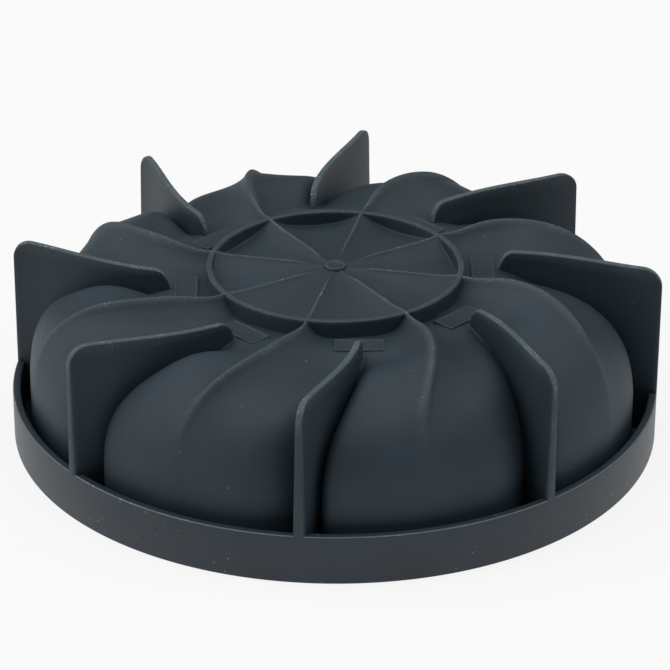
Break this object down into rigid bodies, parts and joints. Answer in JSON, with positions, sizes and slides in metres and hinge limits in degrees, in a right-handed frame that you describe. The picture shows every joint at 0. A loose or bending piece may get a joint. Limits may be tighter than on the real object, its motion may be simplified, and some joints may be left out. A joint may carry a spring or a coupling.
{
  "type": "silicone twist cake mould",
  "caption": "Round fluted cake mould whose lobes twist, with upright fins between them, a foot ring and a stiff outer band.",
  "frame": {"origin": "centre of the mouth, in the plane that the mould rests on when it stands upside down", "axes": "+Z from the mouth up to the foot ring and the fins; the fin nearest the picture's camera is near -Y"},
  "size_m": [0.24, 0.24, 0.0682],
  "materials": {
    "cup_silicone": "matte dark blue-grey silicone",
    "band_silicone": "satin dark blue-grey silicone",
    "ring_silicone": "matte dark blue-grey silicone",
    "gate_silicone": "matte dark blue-grey silicone",
    "fin_silicone": "matte dark blue-grey silicone, paler at worn edges",
    "pad_silicone": "matte dark blue-grey silicone"
  },
  "bodies": {
    "root": {"mould_shell": "cup_silicone", "rim_band": "band_silicone", "foot_ring": "ring_silicone", "gate_mark": "gate_silicone", "fin_1": "fin_silicone", "fin_2": "fin_silicone", "fin_3": "fin_silicone", "fin_4": "fin_silicone", "fin_5": "fin_silicone", "fin_6": "fin_silicone", "fin_7": "fin_silicone", "fin_8": "fin_silicone", "label_pad_1": "pad_silicone", "label_pad_2": "pad_silicone", "label_pad_3": "pad_silicone", "label_pad_4": "pad_silicone", "label_pad_5": "pad_silicone", "label_pad_6": "pad_silicone", "label_pad_7": "pad_silicone", "label_pad_8": "pad_silicone"}
  },
  "joints": []
}
